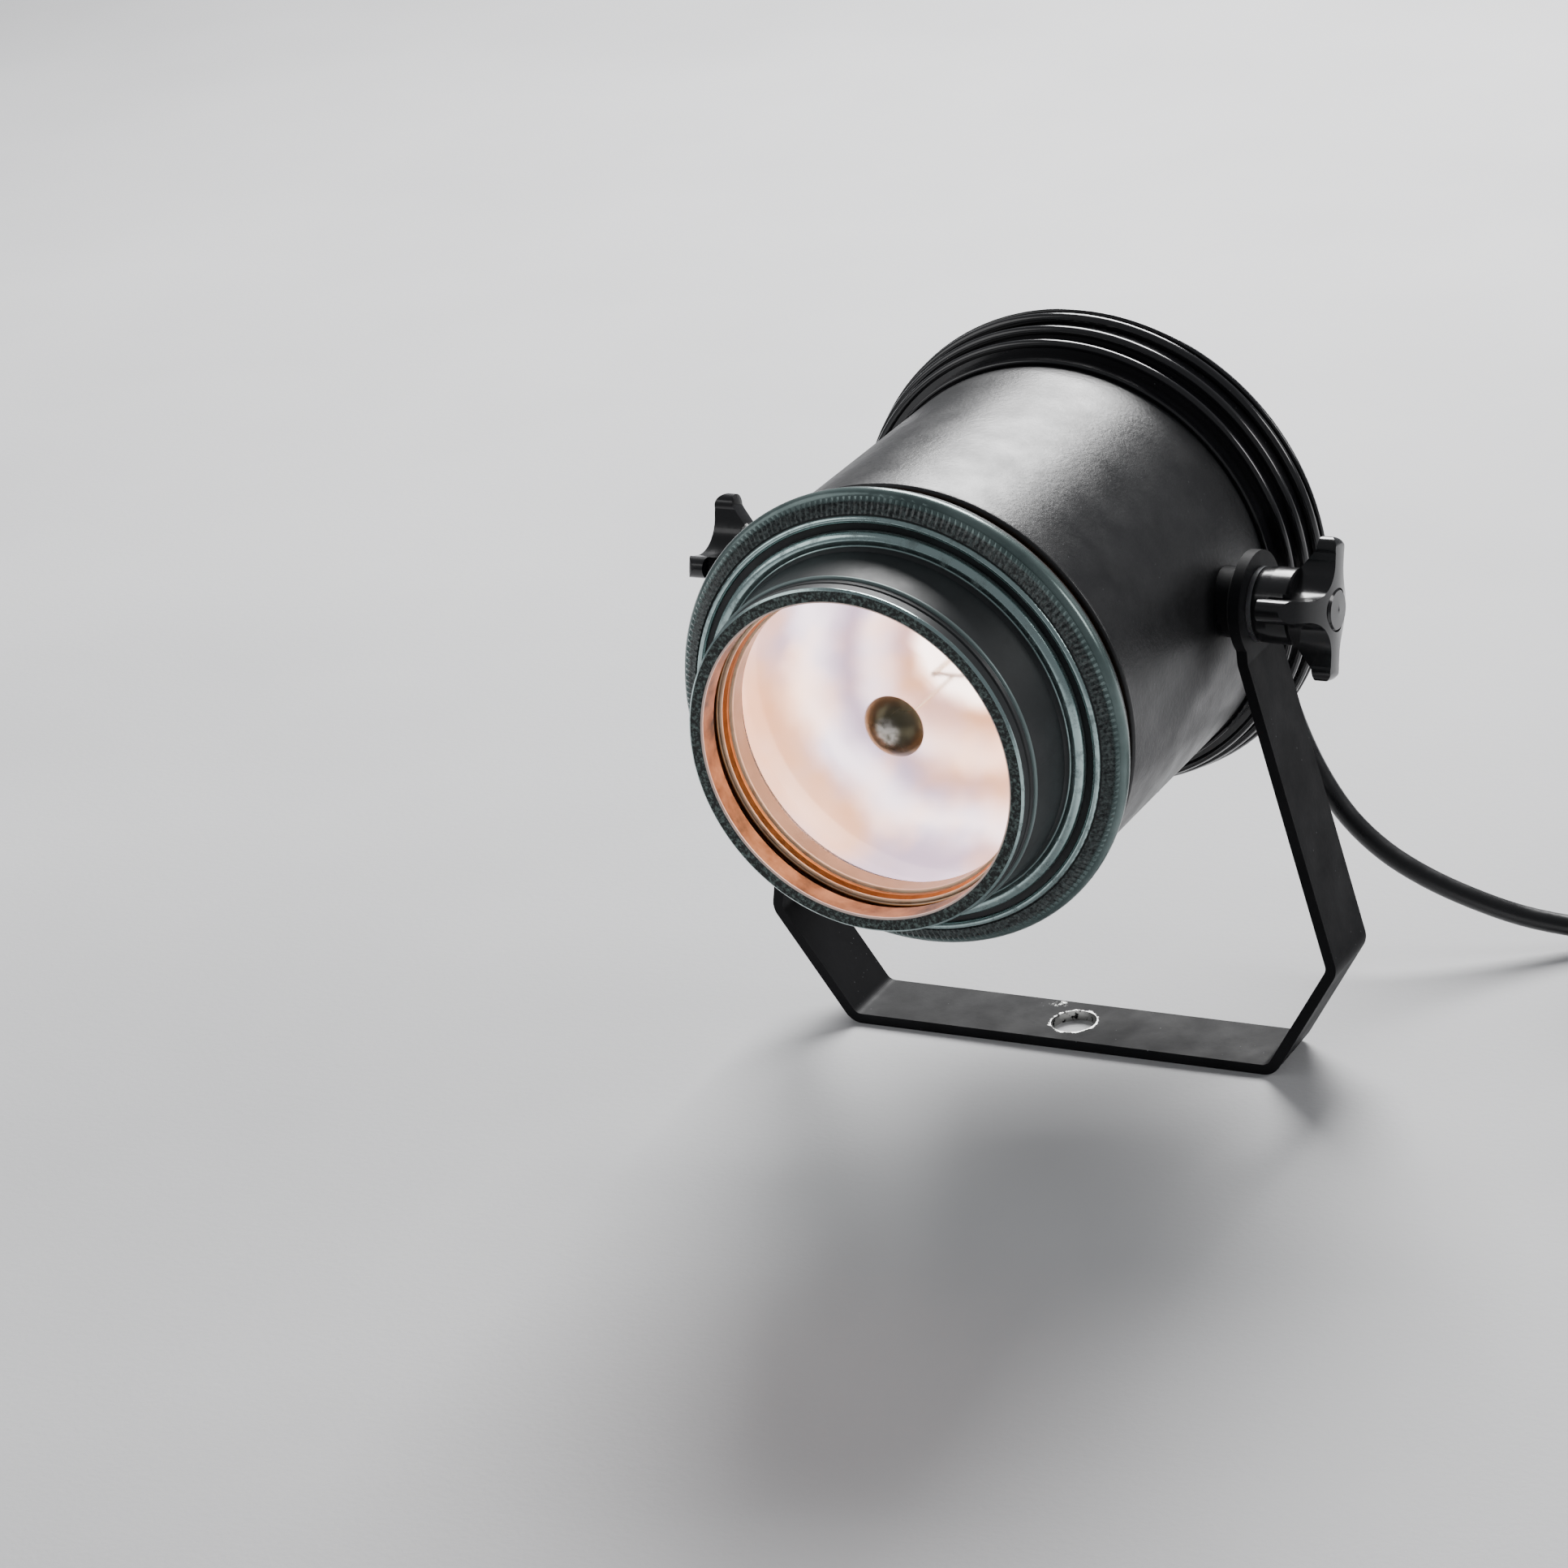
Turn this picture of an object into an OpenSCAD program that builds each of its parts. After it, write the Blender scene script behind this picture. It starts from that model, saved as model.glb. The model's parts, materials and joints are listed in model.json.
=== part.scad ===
// Small par can spot on a bent strap yoke that stands on the floor.
// X runs along the tilt axis, the beam leaves towards -Y and Z points up.
// The origin is the centre of the yoke's fixing hole, on the floor.

/* [Can] */
// Outside diameter of the can
can_d = 120; // [119:0.5:121]
// Sheet thickness of the can
can_wall = 1; // [0.8:0.1:1.2]
// From the tilt axis forward to the can's front edge
can_front = 68; // [66:0.5:69]
// From the tilt axis back to the can's rear edge
can_rear = 40; // [38:0.5:42]
// How far the can's axis lies below the tilt axis
can_drop = 6; // [4:0.5:8]

/* [Front ring and snout] */
// Greatest radius of the front ring's rolled edge
ring_r = 63.7; // [63.5:0.1:64.5]
// From the tilt axis forward to the rim of the snout
snout_front = 105; // [104:0.5:107]
// Radius of the snout's mouth
mouth_r = 43.5; // [42.5:0.1:44]
// Angle the front ring turns to unlock
unlock_angle = 40; // [20:1:60]

/* [Rear collar and cap] */
// Greatest radius of the rear collar
collar_r = 69.2; // [68.6:0.1:70]
// Number of vent slots in the rear cap
vent_count = 8; // [4:1:10]
// Number of rear cap screws
cap_screws = 3; // [3:1:4]

/* [Lamp] */
// Outside radius of the sealed-beam lamp
lamp_r = 56.5; // [55:0.1:57]
// Radius of the shield in front of the filament
shield_r = 8.5; // [6:0.5:10]

/* [Yoke] */
// Height of the tilt axis above the floor
pivot_z = 135; // [130:1:145]
// Width of the strap
strap_w = 22; // [20:1:26]
// Thickness of the strap
strap_t = 3; // [2.5:0.1:3]
// Radius of the round eyes at the tilt axis
eye_r = 14.3; // [13:0.1:15]
// Half the length of the flat base
base_half = 64; // [60:1:68]
// Half the width across the side bends
side_x = 86; // [82:1:90]
// Height of the side bends
side_z = 34; // [30:1:40]
// Radius of the fixing hole in the base
base_hole_r = 6.5; // [5:0.5:7]

/* [Knobs] */
// Radius from the knob's centre to the end of a wing
wing_r = 19; // [18:0.5:22]
// Radius of the knob's hub
hub_r = 10.5; // [10:0.5:11]
// Angle of the right knob at rest
right_knob_turn = -18; // [-45:1:45]
// Angle of the left knob at rest
left_knob_turn = -16; // [-45:1:45]
// How far the left knob is screwed out
left_knob_out = 5; // [0:0.5:6]
// Radius of the tilt studs
stud_r = 4; // [3.5:0.5:4]

/* [Cord] */
// Diameter of the cord
cord_d = 6; // [5:0.5:7]

/* [Hidden] */
$fn = 96;
eps = 0.01;

can_r = can_d / 2;
can_in = can_r - can_wall;
axis_z = pivot_z - can_drop;
skirt_r = can_in - 0.1;

// Where the parts of the tilt joint lie, measured out from the middle
boss_end = 63.4;
rubber_end = 64.9;
arm_in = 65;
arm_out = arm_in + strap_t;
washer_start = arm_out + 0.1;
hub_start = washer_start + 1.4;
wing_start = hub_start + 8;
knob_end = 90;
stud_end = 82;
stud_clear = 0.08;

// Stations along the can, measured forward from the tilt axis
collar_front = -24;
collar_back = -46;
cap_back = -50;
gland_back = -55;
relief_back = -77;
gap_front = 72;
flange_a = 79.6;
lens_top = 89.5;
lens_sphere = 260;
dome_r = 44;
reflector_vertex = 30;
reflector_focus = 17.6;
rim_back = 75.5;
ring_land = 96;
groove_end = 98.7;

// Seats a part on the can: local Z points forward along the can's axis
module on_can() {
    translate([0, 0, axis_z]) rotate([90, 0, 0]) children();
}

// Seats a part on the tilt axis: local Z points outwards on the +X side
module on_pivot() {
    translate([0, 0, pivot_z]) rotate([0, 90, 0]) children();
}

module left_side() {
    mirror([1, 0, 0]) children();
}

// A ring of rectangular section
module ring(r_out, r_in, h) {
    rotate_extrude() translate([r_in, 0]) square([r_out - r_in, h]);
}

// Copies its child evenly round the Z axis
module round_z(count, start = 0) {
    for (i = [0:count - 1]) rotate([0, 0, start + i * 360 / count]) children();
}

// Height of the lamp's front face at radius r, and of the mirror's surface
function lens_at(r) = lens_top - r * r / (2 * lens_sphere);
function mirror_at(r) = reflector_vertex + r * r / (4 * reflector_focus);

// ---- swept tubes -------------------------------------------------------
function unit(v) = v / norm(v);
function heading(p, i) =
    unit(p[min(i + 1, len(p) - 1)] - p[max(i - 1, 0)]);
function carried(n, d) = unit(n - (n * d) * d);
function frames(p, n, i = 0) =
    i == len(p) ? [] :
    let (d = heading(p, i), m = carried(n, d)) concat([[p[i], m, cross(d, m)]], frames(p, m, i + 1));

module tube_along(p, r, sides = 10, up = [1, 0, 0]) {
    f = frames(p, up);
    pts = [for (s = f, k = [0:sides - 1])
        s[0] + r * (cos(k * 360 / sides) * s[1] + sin(k * 360 / sides) * s[2])];
    rows = len(p);
    sides_faces = [for (i = [0:rows - 2], k = [0:sides - 1])
        [i * sides + k, i * sides + (k + 1) % sides, (i + 1) * sides + (k + 1) % sides,
         (i + 1) * sides + k]];
    ends = [[for (k = [sides - 1:-1:0]) k], [for (k = [0:sides - 1]) (rows - 1) * sides + k]];
    polyhedron(pts, concat(sides_faces, ends), convexity = 6);
}

// Catmull-Rom curve through route points, with steps points per stretch
function spot(p, i) = p[max(0, min(len(p) - 1, i))];
function curve(p, steps) = concat([for (i = [0:len(p) - 2], k = [0:steps - 1])
    let (t = k / steps, a = spot(p, i - 1), b = p[i], c = p[i + 1], d = spot(p, i + 2))
    0.5 * (2 * b + (c - a) * t + (2 * a - 5 * b + 4 * c - d) * t * t
        + (3 * b - a - 3 * c + d) * t * t * t)], [p[len(p) - 1]]);

// ---- yoke --------------------------------------------------------------
bend_r = 4.5;
arm_x = arm_in + strap_t / 2;
knee_z = pivot_z - 13;
arm_end_z = pivot_z;
strap_path = [
    [-arm_x, arm_end_z], [-arm_x, knee_z], [-side_x + strap_t / 2, side_z],
    [-base_half, strap_t / 2], [base_half, strap_t / 2], [side_x - strap_t / 2, side_z],
    [arm_x, knee_z], [arm_x, arm_end_z]
];
bend_steps = 6;

// Points and headings along the strap's middle line, with round bends
function turn(a, b) = atan2(a[0] * b[1] - a[1] * b[0], a * b);
function bend(a, v, b) =
    let (d1 = unit(v - a), d2 = unit(b - v), w = turn(d1, d2), t = bend_r * tan(abs(w) / 2),
        start = v - t * d1, side = sign(w), c = start + side * bend_r * [-d1[1], d1[0]])
    [for (k = [0:bend_steps])
        let (q = w * k / bend_steps, s = start - c)
        [c + [s[0] * cos(q) - s[1] * sin(q), s[0] * sin(q) + s[1] * cos(q)],
         [d1[0] * cos(q) - d1[1] * sin(q), d1[0] * sin(q) + d1[1] * cos(q)]]];
function strap_line() =
    let (p = strap_path, n = len(p) - 1)
    concat([[p[0], unit(p[1] - p[0])]],
        [for (i = [1:n - 1]) each bend(p[i - 1], p[i], p[i + 1])],
        [[p[n], unit(p[n] - p[n - 1])]]);
function strap_edge(side) =
    [for (q = strap_line()) q[0] + side * strap_t / 2 * [-q[1][1], q[1][0]]];

module strap_section() {
    outer = strap_edge(-1);
    polygon(concat(strap_edge(1), [for (i = [len(outer) - 1:-1:0]) outer[i]]));
}

module arm_end() {
    translate([arm_in, 0, pivot_z]) rotate([0, 90, 0]) cylinder(r = eye_r, h = strap_t);
}

module yoke() {
    color("#17181a") difference() {
        union() {
            translate([0, strap_w / 2, 0]) rotate([90, 0, 0])
                linear_extrude(height = strap_w) strap_section();
            arm_end();
            left_side() arm_end();
        }
        translate([0, 0, -1]) cylinder(r = base_hole_r, h = strap_t + 2);
        translate([-side_x, 0, pivot_z]) rotate([0, 90, 0])
            cylinder(r = stud_r + stud_clear, h = 2 * side_x);
    }
}

// ---- can ---------------------------------------------------------------
module body_tube() {
    color("#1b1c1f") difference() {
        on_can() rotate_extrude() {
            translate([can_in, -can_rear]) square([can_wall, can_rear + can_front - 1]);
            translate([can_r + 0.2, can_front - 1]) circle(r = 1, $fn = 32);
        }
        translate([-side_x, 0, pivot_z]) rotate([0, 90, 0])
            cylinder(r = stud_r + 0.2, h = 2 * side_x);
        on_can() for (x = [-bracket_x, bracket_x]) translate([x, 0, bracket_a])
            rotate([90, 0, 0]) cylinder(r = 1.7, h = can_r + 2);
    }
}

pin_a = 62;
pin_count = 3;
module bayonet_pins() {
    color("#a8a9ac") on_can() intersection() {
        cylinder(r = can_in, h = can_front);
        round_z(pin_count, 90) translate([0, 0, pin_a]) rotate([0, 90, 0])
            translate([0, 0, can_in - 1.8]) cylinder(r = 1.9, h = 4, $fn = 32);
    }
}

// Section of the rear collar: three stepped rings with rolled edges
sheet = 1.4;
module collar_wall(r, back, front) {
    translate([r - sheet, back]) square([sheet, front - back]);
}
module collar_web(r_in, r_out, back) {
    translate([r_in, back]) square([r_out - r_in, sheet]);
}
module collar_bead(r, a, size) {
    translate([r - size, a]) circle(r = size, $fn = 32);
}
module collar_section() {
    collar_wall(can_r + 1.6, collar_front - 6.2, collar_front - 0.2);
    collar_bead(can_r + 1.6, collar_front - 0.5, 0.7);
    collar_web(can_r + 0.2, collar_r - 4.7, collar_front - 6.2);
    collar_bead(collar_r - 3.7, collar_front - 5.5, 1.2);
    collar_wall(collar_r - 4.7, collar_front - 11.8, collar_front - 5.4);
    collar_web(collar_r - 6.1, collar_r - 3, collar_front - 11.8);
    collar_bead(collar_r - 1.7, collar_front - 11, 1.3);
    collar_wall(collar_r - 2.7, collar_front - 17.8, collar_front - 10.9);
    collar_web(collar_r - 4.1, collar_r - 1.5, collar_front - 17.8);
    collar_bead(collar_r - 0.2, collar_front - 17, 1.4);
    collar_wall(collar_r - 1.1, collar_back, collar_front - 16.9);
    collar_bead(collar_r, collar_front - 19.7, 0.65);
}

cap_flange_in = 53;
cap_screw_r = 57;
cap_seat = collar_back + 1.6;
module rear_collar() {
    color("#101113") on_can() difference() {
        union() {
            rotate_extrude() collar_section();
            translate([0, 0, collar_back]) ring(collar_r - 1.8, cap_flange_in, 1.6);
        }
        round_z(cap_screws, 30) translate([cap_screw_r, 0, collar_back - 1])
            cylinder(r = 1.45, h = 5, $fn = 32);
    }
}

// Rear cap: a flat rim, a cone and a raised middle with vents
plateau_r = 44;
module rear_cap() {
    color("#141517") on_can() difference() {
        rotate_extrude() polygon([
            [0, cap_back], [plateau_r - 2, cap_back], [plateau_r + 3, collar_back - 1.2],
            [66.6, collar_back - 1.2], [66.6, collar_back], [plateau_r + 2, collar_back],
            [plateau_r - 3, cap_back + 1.2], [0, cap_back + 1.2]
        ]);
        translate([0, 0, cap_back - 1]) cylinder(r = 6.1, h = 6);
        round_z(cap_screws, 30) translate([cap_screw_r, 0, collar_back - 3])
            cylinder(r = 1.6, h = 5, $fn = 32);
        for (i = [0:vent_count - 1])
            rotate_extrude(angle = 200 / vent_count, start = (i + 0.22) * 360 / vent_count)
                translate([27, cap_back - 1]) square([4, 4]);
        for (i = [0:vent_count - 1])
            rotate_extrude(angle = 200 / vent_count, start = (i + 0.22) * 360 / vent_count)
                translate([35, cap_back - 1]) square([4, 4]);
    }
}

module cap_screws() {
    color("#8f9194") on_can() round_z(cap_screws, 30) translate([cap_screw_r, 0, 0])
        difference() {
            union() {
                translate([0, 0, collar_back - 3.2]) cylinder(r1 = 2.2, r2 = 3, h = 2, $fn = 32);
                translate([0, 0, collar_back - 1.25]) cylinder(r = 1.4, h = 6, $fn = 32);
            }
            translate([-0.4, -1.7, collar_back - 3.3]) cube([0.8, 3.4, 1.1]);
            translate([-1.7, -0.4, collar_back - 3.3]) cube([3.4, 0.8, 1.1]);
        }
}

// ---- front ring and snout ----------------------------------------------
module ring_section() {
    polygon([
        [skirt_r - 1.1, can_front - 10], [skirt_r, can_front - 10], [skirt_r, gap_front],
        [ring_r - 1.9, gap_front], [ring_r - 0.9, gap_front + 3], [62.4, 78.6], [57.9, 81],
        [55.8, 81], [54.4, flange_a + 1.2], [50.4, flange_a + 1.2], [50.4, flange_a],
        [56.4, flange_a], [skirt_r - 1.1, 78.4]
    ]);
    translate([ring_r - 2.4, gap_front + 4.6]) circle(r = 2.4, $fn = 48);
    translate([56.8, 81.1]) circle(r = 1, $fn = 32);
}

slot_h = 4.1;
module front_ring() {
    color("#16201f") on_can() difference() {
        rotate_extrude() ring_section();
        for (i = [0:pin_count - 1])
            rotate_extrude(angle = unlock_angle + 4, start = 88 + i * 360 / pin_count)
                translate([skirt_r - 2, pin_a - slot_h / 2]) square([4, slot_h]);
        for (i = [0:pin_count - 1])
            rotate_extrude(angle = 4, start = 88 + unlock_angle + i * 360 / pin_count)
                translate([skirt_r - 2, can_front - 12]) square([4, pin_a - can_front + 12]);
    }
}

module snout_section() {
    polygon([
        [48.4, flange_a + 1.2], [53.4, flange_a + 1.2], [53.4, 82], [50.2, 83.4], [49.4, 84.6],
        [48.1, 98.4], [47.5, 100.6], [46.9, 101], [47.5, 101.6], [47.5, snout_front - 0.5],
        [47, snout_front], [mouth_r + 0.3, snout_front], [mouth_r, snout_front - 0.3],
        [mouth_r, groove_end], [45, groove_end], [45, ring_land], [46, ring_land]
    ]);
    translate([52, 81.9]) circle(r = 2, $fn = 48);
    translate([47.9, 98.8]) circle(r = 0.6, $fn = 24);
}

// The snout is cut off square where it lands on the front ring
module snout() {
    color("#14191a") on_can() difference() {
        rotate_extrude() snout_section();
        translate([0, 0, flange_a - 1.8]) cylinder(r = 60, h = 3);
    }
}

ring_back = ring_land - 5;
module lens_ring() {
    color("#c98a56") on_can() rotate_extrude() {
        polygon([
            [42.2, ring_back], [45.9, ring_back], [45.9, ring_land], [44.2, ring_land],
            [43.4, ring_land - 0.6], [42.4, ring_land - 2.5]
        ]);
        translate([43.4, ring_land - 0.7]) circle(r = 0.6, $fn = 24);
        translate([42.3, ring_back + 0.7]) circle(r = 0.7, $fn = 24);
    }
}

module lens_seal() {
    color("#d9a878") on_can() rotate_extrude() polygon([
        [42, ring_back], [45.4, ring_back], [45.4, ring_back - 5], [dome_r, lens_at(dome_r)],
        [42, lens_at(42)]
    ]);
}

// ---- sealed-beam lamp ---------------------------------------------------
lens_t = 2.6;
lens_rings = 10;
lens_edge = flange_a - 1.4;
module lamp_lens() {
    color("#f4efe8") on_can() rotate_extrude() polygon(concat(
        [for (i = [0:lens_rings]) let (r = dome_r * i / lens_rings) [r, lens_at(r)]],
        [[46, 84.2], [48.4, lens_edge + 1.4], [51.5, lens_edge], [lamp_r, lens_edge],
         [lamp_r, rim_back + 0.3], [50.4, rim_back + 0.3], [48.2, lens_edge - 1],
         [44.8, 81.8]],
        [for (i = [lens_rings:-1:0]) let (r = (dome_r - 1) * i / lens_rings)
            [r, lens_at(r) - lens_t]]
    ));
}

mirror_steps = 12;
neck_r = 14;
module lamp_reflector() {
    span = 50 - neck_r;
    color("#d8d4cc") on_can() rotate_extrude() polygon(concat(
        [[neck_r - 4, reflector_vertex - 6], [neck_r, reflector_vertex - 6]],
        [for (i = [0:mirror_steps]) let (r = neck_r + span * i / mirror_steps)
            [r + 2.2, mirror_at(r) - 1.4]],
        [[52.6, rim_back - 3.5], [lamp_r, rim_back - 3.5], [lamp_r, rim_back + 0.3],
         [50.6, rim_back + 0.3], [50.6, 68.5]],
        [for (i = [mirror_steps:-1:0]) let (r = neck_r - 4 + (span + 3) * i / mirror_steps)
            [r, mirror_at(r)]]
    ));
}

shield_a = 81.4;
shield_h = 4.6;
shield_wall = 1.2;
shield_sphere = (shield_r * shield_r + shield_h * shield_h) / (2 * shield_h);
module filament_shield() {
    color("#6d6549") on_can() translate([0, 0, shield_a]) rotate_extrude() difference() {
        intersection() {
            translate([0, shield_h - shield_sphere]) circle(r = shield_sphere, $fn = 128);
            square([shield_r, shield_h]);
        }
        translate([0, shield_h - shield_sphere])
            circle(r = shield_sphere - shield_wall, $fn = 128);
    }
}

filament_a = reflector_vertex + reflector_focus;
module filament() {
    color("#b9b2a6") on_can() {
        for (x = [-5, 5]) translate([x, 0, reflector_vertex - 8])
            cylinder(r = 0.8, h = filament_a - reflector_vertex + 8.5, $fn = 24);
        translate([-5, 0, filament_a]) rotate([0, 90, 0]) cylinder(r = 0.55, h = 10, $fn = 24);
        translate([0, -0.7, filament_a]) cylinder(r = 0.5, h = shield_a + shield_h - shield_wall - 0.1 - filament_a, $fn = 24);
    }
}

module lamp_terminals() {
    color("#c2a25a") on_can() {
        translate([0, 0, reflector_vertex - 8]) difference() {
            cylinder(r = neck_r - 1, h = 2);
            for (x = [-5, 5]) translate([x, 0, -1]) cylinder(r = 0.85, h = 4, $fn = 24);
        }
        for (x = [-7, 7]) translate([x, 5, reflector_vertex - 14]) {
            translate([0, 0, 3]) cylinder(r = 2.9, h = 3, $fn = 6);
            cylinder(r = 1.8, h = 3, $fn = 32);
        }
    }
}

module lamp_gasket() {
    color("#2a2a2a") on_can() rotate_extrude()
        translate([51.6, lens_edge]) square([4.2, flange_a - lens_edge]);
}

// Wire ring that presses the lamp forward from behind its rim
module lamp_spring() {
    color("#b4b6b8") on_can() translate([0, 0, rim_back - 4.55])
        rotate_extrude(angle = 320, start = 290)
            translate([lamp_r - 1.4, 0]) circle(r = 1, $fn = 24);
}

// ---- transformer and wiring ---------------------------------------------
core_w = 56;
core_h = 46;
core_t = 28;
core_a = -27;
core_y = -4;
window_w = 9.3;
window_h = 27;
leg_w = 18;
bracket_x = 24;
bracket_a = core_a + core_t / 2;

module core_windows() {
    for (s = [-1, 1]) translate([s * (leg_w + window_w) / 2 - window_w / 2, -window_h / 2, -1])
        cube([window_w, window_h, core_t + 2]);
}

module transformer_core() {
    color("#5d5a55") on_can() translate([0, core_y, core_a]) difference() {
        translate([-core_w / 2, -core_h / 2, 0]) cube([core_w, core_h, core_t]);
        core_windows();
    }
}

module transformer_winding() {
    gap = 0.3;
    end = 8;
    w = leg_w + 2 * window_w - 2 * gap;
    color("#a9552c") on_can() translate([0, core_y, core_a]) difference() {
        translate([-w / 2, -window_h / 2 + gap, -end])
            cube([w, window_h - 2 * gap, core_t + 2 * end]);
        translate([-leg_w / 2 - gap, -core_h / 2, -gap])
            cube([leg_w + 2 * gap, core_h, core_t + 2 * gap]);
    }
}

// Strap that clamps the core, with two legs down to the can's wall
strap_gauge = 1.6;
module transformer_bracket() {
    bottom = core_y - core_h / 2 - strap_gauge;
    color("#8d9093") on_can() {
        translate([-core_w / 2 - strap_gauge, bottom, core_a + 4])
            cube([core_w + 2 * strap_gauge, strap_gauge, core_t - 8]);
        translate([-core_w / 2 - strap_gauge, core_y + core_h / 2, core_a + 4])
            cube([core_w + 2 * strap_gauge, strap_gauge, core_t - 8]);
        for (s = [0, 1]) mirror([s, 0, 0])
            translate([core_w / 2, bottom, core_a + 4])
                cube([strap_gauge, core_h + 2 * strap_gauge, core_t - 8]);
        for (x = [-bracket_x, bracket_x]) difference() {
            intersection() {
                translate([x - 5, -can_r, bracket_a - 6]) cube([10, can_r + bottom + eps, 12]);
                cylinder(r = can_in, h = 200, center = true);
            }
            translate([x, bottom - 6, bracket_a]) rotate([90, 0, 0])
                cylinder(r = 1.45, h = can_r, $fn = 32);
        }
    }
}

bracket_foot = sqrt(can_r * can_r - bracket_x * bracket_x);
module bracket_screws() {
    color("#8f9194") on_can() for (x = [-bracket_x, bracket_x])
        translate([x, 0, bracket_a]) rotate([90, 0, 0]) {
            translate([0, 0, bracket_foot - 10]) cylinder(r = 1.4, h = 12.2, $fn = 32);
            translate([0, 0, bracket_foot + 1.3]) cylinder(r = 3, h = 2, $fn = 32);
        }
}

block_y = core_y + core_h / 2 + strap_gauge;
block_a = core_a + 8;
module terminal_block() {
    color("#e6e3da") on_can() translate([-15, block_y, block_a]) difference() {
        cube([30, 11, 13]);
        for (x = [5, 15, 25]) {
            translate([x, 4, -1]) cylinder(r = 1.9, h = 15, $fn = 32);
            translate([x, 12, 6.5]) rotate([90, 0, 0]) cylinder(r = 2.1, h = 6, $fn = 32);
        }
    }
}

module terminal_screws() {
    color("#b89b52") on_can() translate([-15, block_y, block_a])
        for (x = [5, 15, 25]) translate([x, 10.4, 6.5]) rotate([90, 0, 0]) difference() {
            cylinder(r = 2, h = 4, $fn = 32);
            translate([-0.35, -3, -1]) cube([0.7, 6, 1.8]);
        }
}

module earth_screw() {
    color("#b89b52") on_can() translate([core_w / 2 + strap_gauge, 8, bracket_a])
        rotate([0, 90, 0]) {
            cylinder(r = 4, h = 0.8, $fn = 32);
            translate([0, 0, 0.8]) cylinder(r = 3, h = 2.2, $fn = 32);
        }
}

// Routes inside the can, as [x, up, forward]
wire_end = cap_back + 6.6;
live_route = [[-1.9, 1.4, wire_end], [-2, 1.8, -42], [-5, 10, -38], [-10, 22, -31], [-10, 23.6, -24],
    [-10, 23.6, -19.2]];
neutral_route = [[1.9, 1.4, wire_end], [1.9, 1.8, -42], [1.5, 11, -38.5], [0, 22, -31],
    [0, 23.6, -24], [0, 23.6, -19.2]];
earth_route = [[0, -2, wire_end], [0.3, -2.1, -42], [12, -1, -39.5], [26, 2, -38.5], [35, 8, -32], [37, 11.5, -22],
    [36.5, 12.5, -16]];
lamp_route_a = [[-10, 23.6, -5.8], [-12, 25, 2], [-18, 24, 9], [-18, 16, 14.6], [-12, 8, 16.8],
    [-8.9, 5.6, 17.4]];
lamp_route_b = [[10, 23.6, -5.8], [12, 25, 2], [18, 24, 9], [18, 16, 14.6], [12, 8, 16.8],
    [8.9, 5.6, 17.4]];

module mains_wires() {
    color("#8a4b22") on_can() tube_along(curve(live_route, 4), 1.3, 8);
    color("#2f5fa8") on_can() tube_along(curve(neutral_route, 4), 1.3, 8);
    color("#5a9a3a") on_can() tube_along(curve(earth_route, 4), 1.3, 8);
}

module lamp_wires() {
    color("#d8d5cc") on_can() {
        tube_along(curve(lamp_route_a, 4), 1.3, 8);
        tube_along(curve(lamp_route_b, 4), 1.3, 8);
    }
}

// ---- cable gland ----------------------------------------------------------
gland_in = 3.1;
module cable_gland() {
    color("#1d1d1f") on_can() difference() {
        union() {
            translate([0, 0, gland_back]) cylinder(r = 9, h = cap_back - gland_back);
            translate([0, 0, cap_back - eps]) cylinder(r = 6, h = 6.4);
        }
        translate([0, 0, gland_back - 1]) cylinder(r = gland_in, h = 20);
        round_z(12) translate([9.3, 0, gland_back - 1]) cylinder(r = 0.9, h = 4, $fn = 16);
    }
}

module gland_nut() {
    color("#26272a") on_can() translate([0, 0, cap_back + 1.2]) difference() {
        cylinder(r = 9.6, h = 4, $fn = 6);
        translate([0, 0, -1]) cylinder(r = 6.05, h = 6);
    }
}

// Bend relief: a tapered boot with rings
relief_rings = 5;
module strain_relief() {
    pitch = (gland_back - relief_back - 4) / relief_rings;
    color("#202022") on_can() rotate_extrude() {
        polygon([[0, relief_back], [3.9, relief_back], [6, gland_back], [0, gland_back]]);
        for (i = [0:relief_rings - 1])
            translate([0, relief_back + 1 + i * pitch]) square([4.5 + 0.36 * i, pitch * 0.55]);
    }
}

// ---- tilt joint -----------------------------------------------------------
module stud(extra) {
    color("#a4a6a9") on_pivot() translate([0, 0, 46.5])
        cylinder(r = stud_r, h = stud_end + extra - 46.5);
}

module boss() {
    color("#2b2c2f") difference() {
        on_pivot() translate([0, 0, 50]) ring(9.5, stud_r + 0.05, boss_end - 50);
        on_can() translate([0, 0, -50]) cylinder(r = can_r + 0.02, h = 100);
    }
}

module stud_nut() {
    color("#b4b6b8") on_pivot() difference() {
        union() {
            translate([0, 0, 49.5]) cylinder(r = 7.4, h = 5.5, $fn = 6);
            translate([0, 0, 55]) cylinder(r = 8.5, h = 1.5);
        }
        translate([0, 0, 40]) cylinder(r = stud_r + 0.05, h = 20);
    }
}

module rubber_washer() {
    color("#1a1a1a") on_pivot() translate([0, 0, boss_end])
        ring(11.5, stud_r + 0.05, rubber_end - boss_end);
}

module washer() {
    color("#3a3b3e") on_pivot() translate([0, 0, washer_start])
        ring(10, stud_r + 0.05, hub_start - washer_start - 0.05);
}

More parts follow.
